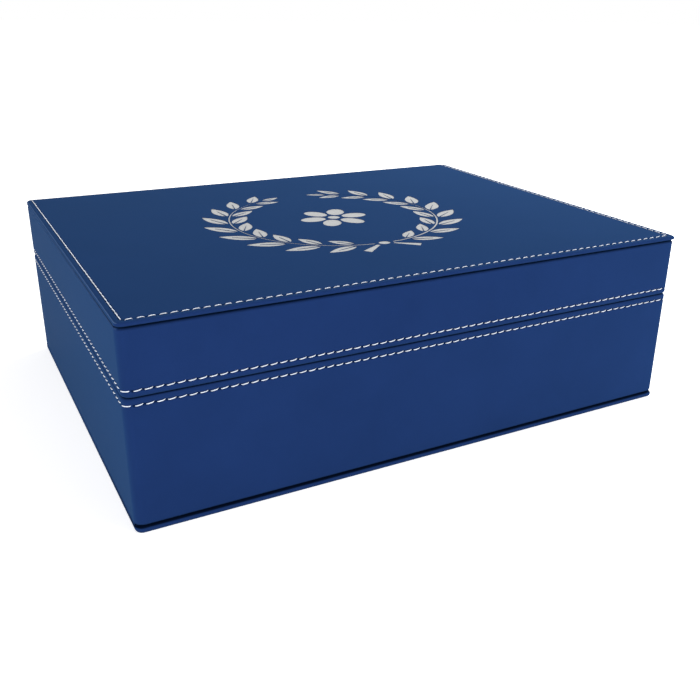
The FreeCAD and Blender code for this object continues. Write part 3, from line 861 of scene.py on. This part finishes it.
def inflate(cushion, glued):
    """Blow a pad up by cloth simulation, within its room."""
    frames, most = 16, 1.2 * MM
    points = cushion.data.vertices
    before = [vert.co.copy() for vert in points]
    pins = cushion.vertex_groups.new(name="glued")
    pins.add([vert.index for vert in points if abs(vert.co.z - glued) < TOUCH], 1.0, "REPLACE")
    activate(cushion)
    cloth = cushion.modifiers.new("cloth", "CLOTH")
    settings = cloth.settings
    settings.quality = 6
    settings.vertex_group_mass = "glued"
    settings.use_pressure = True
    settings.uniform_pressure_force = 4
    settings.effector_weights.gravity = 0
    for step in range(1, frames + 1):
        bpy.context.scene.frame_set(step)
    bpy.ops.object.modifier_apply(modifier=cloth.name)
    bpy.context.scene.frame_set(1)
    for vert, start in zip(cushion.data.vertices, before):
        move = vert.co - start
        if move.length > most:
            vert.co = start + move * (most / move.length)


# Hinge screws

def make_screw(head, reach):
    """Model a countersunk screw with a cross recess, its face at height 0."""
    shank, point, tip = 1.0 * MM, 1.6 * MM, 0.05
    deselect()
    bpy.ops.mesh.primitive_circle_add(vertices=24, radius=head, fill_type="NGON")
    screw = name_piece("screw")
    sink = head - shank
    with editing(screw):
        for drop, scale in ((sink, shank / head), (reach - sink - point, 1.0), (point, tip)):
            bpy.ops.mesh.extrude_region_move(TRANSFORM_OT_translate={"value": (0, 0, -drop)})
            bpy.ops.transform.resize(value=(scale, scale, 1))
        face_outward()
    arm, thick, deep = 1.15 * MM, 0.2 * MM, 0.6 * MM
    corners = [Vector((x, y, deep)) for x, y in ((arm, thick), (thick, arm))]
    for blade in [add_block("blade", -corner, corner) for corner in corners]:
        carve(screw, blade)
        discard(blade)
    return screw


def place_screws(tray, node):
    """Put a screw into each end of a tray's two hinge leaves."""
    low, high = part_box(node)
    head = (high.y - low.y) / 2
    screw = make_screw(head, high.z - low.z)
    flip = Matrix() if tray.rim_up else Matrix.Rotation(pi, 4, "X")
    middle = sum(corner.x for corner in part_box(f"right_hinge_{tray.name}_leaf")) / 2
    spread = high.x - head - middle
    placed = []
    for hinge, end in CORNERS:
        place = Matrix.Translation((hinge * middle + end * spread, (low.y + high.y) / 2, tray.rim))
        turn = Matrix.Rotation(radians(31 * hinge + 17 * end), 4, "Z")
        placed.append(copy_at(screw, place @ flip @ turn))
    discard(screw)
    return join(placed, f"hinge_{tray.name}_screw_set")


# Finishes

class Tree:
    """Adds and joins the nodes of a material, a world or a group."""

    def __init__(self, tree):
        self.tree = tree

    def add(self, kind, **values):
        """Add a shader node with its settings, in lower case, and its inputs."""
        node = self.tree.nodes.new(f"ShaderNode{kind}")
        for key in [key for key in values if key.islower()]:
            setattr(node, key, values.pop(key))
        self.feed(node, **values)
        return node

    def feed(self, node, **inputs):
        """Link or set a node's inputs by name."""
        for key, value in inputs.items():
            self.join(value, node.inputs[key.replace("_", " ")])

    def join(self, value, socket):
        """Link an output to a socket, or set its value."""
        if isinstance(value, bpy.types.NodeSocket):
            self.tree.links.new(value, socket)
        else:
            socket.default_value = value

    def place(self, kind="Object"):
        """Return the coordinates on the piece."""
        return self.add("TexCoord").outputs[kind]

    def math(self, operation, *values):
        """Add a Math node and return its output."""
        node = self.add("Math", operation=operation)
        for value, socket in zip(values, node.inputs):
            self.join(value, socket)
        return node.outputs[0]

    def weigh(self, first, weight, second, other):
        """Return the weighted sum of two values."""
        return self.math("ADD", self.math("MULTIPLY", first, weight), self.math("MULTIPLY", second, other))

    def span(self, value, low, high, start=0.0, end=1.0):
        """Map a value from one range to another."""
        node = self.add("MapRange", Value=value, From_Min=start, From_Max=end, To_Min=low, To_Max=high)
        return node.outputs["Result"]

    def blend(self, share, first, second):
        """Mix two colours."""
        node = self.add("Mix", data_type="RGBA", Factor=share)
        self.join(first, node.inputs[6])
        self.join(second, node.inputs[7])
        return node.outputs[2]

    def noise(self, place, scale, detail, **inputs):
        """Return the value of a noise texture."""
        return self.add("TexNoise", Vector=place, Scale=scale, Detail=detail, **inputs).outputs["Fac"]

    def drawn(self, place, scale):
        """Return coordinates drawn out along the axes."""
        return self.add("Mapping", Vector=place, Scale=scale).outputs["Vector"]

    def group(self, name, build, **inputs):
        """Place a node group, made on first use, and return its outputs."""
        made = bpy.data.node_groups.get(name) or make_group(name, build, inputs)
        node = self.add("Group", node_tree=made, Vector=self.place(), **inputs)
        return node.outputs

    def shade(self, bump=None, **inputs):
        """Feed the shader, with a bump's height, distance and strength."""
        shader = self.tree.nodes["Principled BSDF"]
        self.feed(shader, **inputs)
        if bump:
            node = self.add("Bump", Height=bump[0], Distance=bump[1], Strength=bump[2])
            self.feed(shader, Normal=node.outputs["Normal"])


def make_group(name, build, inputs):
    """Make a node group with a function that returns its outputs by name."""
    made = bpy.data.node_groups.new(name, "ShaderNodeTree")
    made.interface.new_socket("Vector", in_out="INPUT", socket_type="NodeSocketVector")
    for title, value in inputs.items():
        made.interface.new_socket(title, in_out="INPUT", socket_type="NodeSocketFloat").default_value = value
    tree = Tree(made)
    outputs = build(tree, made.nodes.new("NodeGroupInput").outputs)
    for title in outputs:
        made.interface.new_socket(title, in_out="OUTPUT", socket_type="NodeSocketFloat")
    tree.feed(made.nodes.new("NodeGroupOutput"), **outputs)
    return made


def leather_grain(tree, source):
    """Leather grain: fine pebbles with soft unevenness."""
    place, pebbles = source["Vector"], source["Pebbles"]
    cells = tree.add("TexVoronoi", feature="SMOOTH_F1", Vector=place, Scale=pebbles, Smoothness=0.6)
    fine = tree.noise(place, tree.math("MULTIPLY", pebbles, 0.55), 3.0)
    slow = tree.noise(place, source["Mottle"], 4.0, Roughness=0.55)
    pebble = tree.math("SUBTRACT", 1.0, cells.outputs["Distance"])
    return {"Height": tree.weigh(pebble, 0.55, fine, 0.45), "Tone": tree.span(slow, 0.0, 1.0, 0.3, 0.7)}


def brushed_metal(tree, source):
    """Brushed metal: fine lines drawn out along X, and tarnish."""
    place = source["Vector"]
    lines = tree.noise(tree.drawn(place, (0.03, 1.0, 1.0)), source["Lines"], 2.0)
    return {"Lines": lines, "Tarnish": tree.span(tree.noise(place, 320.0, 5.0), 0.0, 1.0, 0.35, 0.75)}


def board_fibres(tree, source):
    """Fibres and specks of pressed board."""
    place = source["Vector"]
    specks = tree.add("TexVoronoi", Vector=place, Scale=700.0).outputs["Distance"]
    fibres = tree.noise(tree.drawn(place, (0.25, 0.25, 1.0)), source["Fibres"], 5.0)
    return {"Fibres": fibres, "Speckle": specks}


def opaque(colour_value, shade=1.0):
    """Return a colour with full alpha, shaded."""
    return (*[channel * shade for channel in colour_value], 1.0)


def leatherette(tree, colours):
    """Navy leatherette: fine grain, painted shade in dents and gaps, painted light on edges and seams,
    painted sheen.
    """
    grain = tree.group("Leather grain", leather_grain, Pebbles=1700.0, Mottle=38.0)
    height = grain["Height"]
    tone = tree.weigh(grain["Tone"], 0.65, height, 0.35)
    skin = tree.blend(tone, opaque(colours.leatherette_dark), opaque(colours.leatherette))
    # Painted sheen: paler navy mixed in where the surface is seen aslant
    aslant = tree.math("POWER", tree.add("LayerWeight", Blend=0.5).outputs["Facing"], 2.0)
    skin = tree.blend(aslant, skin, opaque(colours.leatherette_painted_sheen))
    hollow = tree.add("Attribute", attribute_name="hollow").outputs["Fac"]
    # Painted highlight and painted light where the mark is below 0
    skin = tree.blend(tree.math("MULTIPLY", hollow, -1.0), skin, opaque(colours.leatherette_painted_highlight))
    # Painted shade, a near-black navy, where the mark is above 0
    skin = tree.blend(tree.math("MULTIPLY", hollow, 0.85), skin, opaque(colours.leatherette_dark, 0.1))
    rough = tree.span(height, 0.56, 0.42)
    tree.shade((height, 0.05 * MM, 0.4), Base_Color=skin, Roughness=rough, Specular_IOR_Level=0.0007)


def thread_finish(tree, colours):
    """Silver thread: two strands twisted together."""
    sheet = tree.drawn(tree.place("UV"), (2.0, 9.0, 1.0))
    strand = tree.add("TexWave", bands_direction="DIAGONAL", Vector=sheet, Scale=0.7).outputs["Fac"]
    twist = tree.blend(strand, opaque(colours.thread, 0.72), opaque(colours.thread))
    tree.shade((strand, 0.08 * MM, 0.6), Base_Color=twist, Roughness=0.5, Sheen_Weight=0.25)


def engraving_finish(tree, colours):
    """Bared under-layer: pale silver with the fine lines of the engraving beam."""
    place = tree.place()
    wave = tree.add("TexWave", bands_direction="Y", Vector=place, Scale=1200.0, Distortion=0.4, Detail=1.0)
    lines = wave.outputs["Fac"]
    tone = tree.weigh(lines, 0.35, tree.noise(place, 260.0, 4.0), 0.65)
    bared = tree.blend(tone, opaque(colours.engraving, 0.8), opaque(colours.engraving, 1.12))
    rough = tree.span(tone, 0.45, 0.6)
    tree.shade((lines, 0.02 * MM, 0.3), Base_Color=bared, Roughness=rough)
    tree.shade(Metallic=0.25, Specular_IOR_Level=0.3)


def velvet_finish(tree, colours):
    """Black velvet: a short nap with brushed patches and a soft sheen."""
    place = tree.place()
    nap = tree.noise(place, 3200.0, 2.0)
    patches = tree.noise(place, 28.0, 3.0, Distortion=1.2)
    tone = tree.math("ADD", tree.math("MULTIPLY", nap, 0.45), tree.span(patches, -0.6, 1.15))
    pile = tree.blend(tone, opaque(colours.velvet, 0.5), opaque(colours.velvet, 2.0))
    tree.shade((nap, 0.12 * MM, 0.7), Base_Color=pile, Roughness=0.92, Specular_IOR_Level=0.1)
    tree.shade(Sheen_Weight=0.7, Sheen_Roughness=0.4, Sheen_Tint=(0.55, 0.57, 0.62, 1.0))


def nickel_finish(tree, tint, lines):
    """Nickel plating, brushed, with a little tarnish."""
    brushed = tree.group("Brushed metal", brushed_metal, Lines=lines)
    plating = tree.blend(brushed["Tarnish"], opaque(tint), opaque(tint, 0.82))
    rough = tree.span(brushed["Lines"], 0.2, 0.42)
    tree.shade((brushed["Lines"], 0.01 * MM, 0.3), Base_Color=plating, Roughness=rough, Metallic=1.0)


def board_finish(tree, pale, dark):
    """Pressed board with fibres and specks."""
    board = tree.group("Board fibres", board_fibres, Fibres=900.0)
    fibres = board["Fibres"]
    pressed = tree.blend(tree.weigh(fibres, 0.7, board["Speckle"], 0.3), opaque(dark), opaque(pale))
    tree.shade((fibres, 0.08 * MM, 0.5), Base_Color=pressed, Roughness=0.85, Specular_IOR_Level=0.2)


FINISHES = {
    "navy_leatherette": leatherette,
    "silver_thread": thread_finish,
    "silver_underlayer": engraving_finish,
    "lining_velvet": velvet_finish,
    "hinge_nickel": lambda tree, colours: nickel_finish(tree, colours.nickel, 5200.0),
    "screw_nickel": lambda tree, colours: nickel_finish(tree, colours.nickel, 9000.0),
    "magnet_plating": lambda tree, colours: nickel_finish(tree, (0.60, 0.60, 0.60), 7000.0),
    "fibre_board": lambda tree, colours: board_finish(tree, (0.50, 0.37, 0.23), (0.27, 0.18, 0.10)),
    "card_board": lambda tree, colours: board_finish(tree, (0.48, 0.45, 0.40), (0.27, 0.25, 0.22)),
}


def finish_for(slot):
    """Return the material of a slot, made on first use."""
    material = bpy.data.materials.get(f"{slot}_finish")
    if not material:
        material = bpy.data.materials.new(f"{slot}_finish")
        material.use_nodes = True
        FINISHES[slot](Tree(material.node_tree), bpy.context.scene.gift_box_colours)
    return material


# Stage

# Name, place, size and power of each lamp
LAMPS = (
    ("key_left", (-1.4, -0.55, 0.4), 1.0, 12.8),
    ("key_near", (-0.75, -0.45, 0.06), 0.5, 4.2),
    ("fill_front", (0.9, -1.0, 0.4), 0.7, 16.2),
    ("top", (0.6, 0.2, 0.5), 0.5, 7.1),
)
LAMP_TARGET = Vector((0, 0, 0.04))
WHITE = (1.0, 1.0, 1.0, 1.0)
FLOOR_SIZE = 12.0
FLOOR_DROP = 0.05 * MM


def seen_or_mirrored(tree):
    """Return 1 for rays from the camera, a mirror or glass, or else 0."""
    path = tree.add("LightPath").outputs
    mirrored = tree.math("MAXIMUM", path["Is Glossy Ray"], path["Is Transmission Ray"])
    return tree.math("MAXIMUM", path["Is Camera Ray"], mirrored)


def floor_finish():
    """White paper that keeps the shadow of what stands on it."""
    material = bpy.data.materials.new("floor_paper")
    material.use_nodes = True
    tree = Tree(material.node_tree)
    nodes = material.node_tree.nodes
    nodes.remove(nodes["Principled BSDF"])
    far = tree.add("VectorMath", operation="LENGTH")
    tree.join(tree.place(), far.inputs[0])
    share = tree.span(far.outputs["Value"], 0.55, 0.9, 0.3, 1.4)
    paper = tree.add("BsdfDiffuse", Color=(0.86, 0.86, 0.86, 1.0))
    glow = tree.add("Emission", Color=WHITE, Strength=tree.math("MULTIPLY", seen_or_mirrored(tree), share))
    both = tree.add("AddShader")
    for part, socket in zip((paper, glow), both.inputs):
        tree.join(part.outputs[0], socket)
    tree.feed(nodes["Material Output"], Surface=both.outputs[0])
    return material


def light_world(scene):
    """Light the scene from all round, before a white backdrop."""
    scene.world = bpy.data.worlds.new("studio")
    scene.world.use_nodes = True
    tree = Tree(scene.world.node_tree)
    strength = tree.span(seen_or_mirrored(tree), 0.42, 1.0)
    tree.feed(tree.tree.nodes["Background"], Color=WHITE, Strength=strength)


def add_lamp(name, place, size, power):
    """Add a square soft lamp that faces the box."""
    data = bpy.data.lights.new(name, "AREA")
    data.energy = power
    data.size = size
    lamp = bpy.data.objects.new(name, data)
    lamp.location = place
    lamp.rotation_euler = (LAMP_TARGET - Vector(place)).to_track_quat("-Z", "Y").to_euler()
    lamp.visible_camera = False
    lamp.visible_glossy = False
    bpy.context.scene.collection.objects.link(lamp)


def add_camera(scene):
    """Add the camera at the photo's viewing angle."""
    data = bpy.data.cameras.new("camera")
    data.sensor_width = 36.0
    data.lens = 43.0371
    data.shift_x = -0.0349
    data.shift_y = -0.0130
    data.clip_start = 0.01
    data.clip_end = 50.0
    camera = bpy.data.objects.new("camera", data)
    camera.location = (-0.17573, -0.35700, 0.17951)
    camera.rotation_euler = [radians(angle) for angle in (67.7413, -1.0005, -28.7936)]
    scene.collection.objects.link(camera)
    scene.camera = camera


# Operators

class GIFTBOX_OT_finish_boards(bpy.types.Operator):
    """Give the boards, hinges, pins and magnets their finishes"""

    bl_idname = "giftbox.finish_boards"
    bl_label = "Finish boards and metal"

    def execute(self, context):
        slots = {row["node"]: row["material_slot"] for row in frame["record"]["subparts"]}
        for name, node in frame["nodes"].items():
            node.data.materials.clear()
            node.data.materials.append(finish_for(slots[name]))
        return {"FINISHED"}


class GIFTBOX_OT_wrap_panels(bpy.types.Operator):
    """Wrap the top and the bottom panel, and engrave the top one"""

    bl_idname = "giftbox.wrap_panels"
    bl_label = "Wrap panels"

    def execute(self, context):
        for name, outer_up in (("base", False), ("lid", True)):
            wrap = wrap_panel(name, outer_up, context.scene.gift_box_sizes)
            if outer_up:
                plate = engrave_wreath(wrap, context.scene.gift_box_wreath)
                smooth(plate)
                finish_piece(plate, name, "silver_underlayer")
            smooth(wrap)
            finish_piece(wrap, name, "navy_leatherette", f"{name}_panel_cover")
        return {"FINISHED"}


class GIFTBOX_OT_wrap_walls(bpy.types.Operator):
    """Wrap the walls of the base and of the lid"""

    bl_idname = "giftbox.wrap_walls"
    bl_label = "Wrap walls"

    def execute(self, context):
        for tray in (BASE, LID):
            wrap = wrap_walls(tray, context.scene.gift_box_sizes)
            finish_piece(wrap, tray.name, "navy_leatherette", f"{tray.name}_wall_cover")
        return {"FINISHED"}


class GIFTBOX_OT_sew(bpy.types.Operator):
    """Sew both rims and the edges of the top"""

    bl_idname = "giftbox.sew"
    bl_label = "Sew rims and top"

    def execute(self, context):
        box = context.scene.gift_box_sizes
        chance = random.Random(CHANCE_SEED)
        rows = [(sew_rim(tray, box, chance), tray.name) for tray in (BASE, LID)]
        rows.append((sew_top(box, chance), "lid"))
        for row, body in rows:
            activate(row)
            bpy.ops.object.shade_smooth()
            finish_piece(row, body, "silver_thread")
        return {"FINISHED"}


class GIFTBOX_OT_line(bpy.types.Operator):
    """Line the walls of the base and of the lid with velvet"""

    bl_idname = "giftbox.line"
    bl_label = "Line walls"

    def execute(self, context):
        for tray in (BASE, LID):
            for side in ("front", "back", "left", "right"):
                cloth = line_wall(tray, side)
                finish_piece(cloth, tray.name, "lining_velvet", f"{tray.name}_{side}_lining")
        return {"FINISHED"}


class GIFTBOX_OT_pad(bpy.types.Operator):
    """Pad the floor of the base and the inside of the lid"""

    bl_idname = "giftbox.pad"
    bl_label = "Make pads"

    def execute(self, context):
        for body, node, name, faces_up in (
            ("base", "base_floor_pad", "base_floor_cushion", True),
            ("lid", "lid_pad", "lid_cushion", False),
        ):
            cushion = make_cushion(node, name, faces_up)
            finish_piece(cushion, body, "lining_velvet", node)
        return {"FINISHED"}


class GIFTBOX_OT_screw_hinges(bpy.types.Operator):
    """Put the cross-head screws into the hinge leaves"""

    bl_idname = "giftbox.screw_hinges"
    bl_label = "Screw hinges"

    def execute(self, context):
        for tray in (BASE, LID):
            node = f"hinge_{tray.name}_screws"
            screws = place_screws(tray, node)
            smooth(screws, degrees=30)
            finish_piece(screws, tray.name, "screw_nickel", node)
        return {"FINISHED"}


class GIFTBOX_OT_set_stage(bpy.types.Operator):
    """Set up the floor, the soft light and the camera"""

    bl_idname = "giftbox.set_stage"
    bl_label = "Set stage"

    def execute(self, context):
        context.scene.view_settings.view_transform = "Standard"
        deselect()
        bpy.ops.mesh.primitive_plane_add(size=FLOOR_SIZE, location=(0, 0, -FLOOR_DROP))
        floor = name_piece("floor")
        floor.data.materials.append(floor_finish())
        light_world(context.scene)
        for lamp in LAMPS:
            add_lamp(*lamp)
        add_camera(context.scene)
        return {"FINISHED"}


class GIFTBOX_PT_panel(bpy.types.Panel):
    """Lists the settings and the steps of the gift box"""

    bl_idname = "GIFTBOX_PT_panel"
    bl_label = "Gift box"
    bl_space_type = "VIEW_3D"
    bl_region_type = "UI"
    bl_category = "Gift Box"

    def draw(self, context):
        for name in SETTINGS:
            settings = getattr(context.scene, name)
            box = self.layout.box()
            for key in settings.__annotations__:
                box.prop(settings, key)
        for step in STEPS:
            self.layout.operator(step.bl_idname)


SETTINGS = {
    "gift_box_sizes": GiftBoxSizes,
    "gift_box_wreath": GiftBoxWreath,
    "gift_box_colours": GiftBoxColours,
}
STEPS = (
    GIFTBOX_OT_finish_boards,
    GIFTBOX_OT_wrap_panels,
    GIFTBOX_OT_wrap_walls,
    GIFTBOX_OT_sew,
    GIFTBOX_OT_line,
    GIFTBOX_OT_pad,
    GIFTBOX_OT_screw_hinges,
    GIFTBOX_OT_set_stage,
)
CLASSES = (*SETTINGS.values(), *STEPS, GIFTBOX_PT_panel)


def register():
    """Register the settings, the steps and the panel."""
    for item in CLASSES:
        bpy.utils.register_class(item)
    for name, item in SETTINGS.items():
        setattr(bpy.types.Scene, name, bpy.props.PointerProperty(type=item))


def unregister():
    """Take the settings, the steps and the panel away again."""
    for name in SETTINGS:
        delattr(bpy.types.Scene, name)
    for item in reversed(CLASSES):
        bpy.utils.unregister_class(item)


def main():
    """Run every step in order."""
    register()
    bpy.ops.giftbox.finish_boards()
    bpy.ops.giftbox.wrap_panels()
    bpy.ops.giftbox.wrap_walls()
    bpy.ops.giftbox.sew()
    bpy.ops.giftbox.line()
    bpy.ops.giftbox.pad()
    bpy.ops.giftbox.screw_hinges()
    bpy.ops.giftbox.set_stage()


if __name__ == "__main__":
    main()
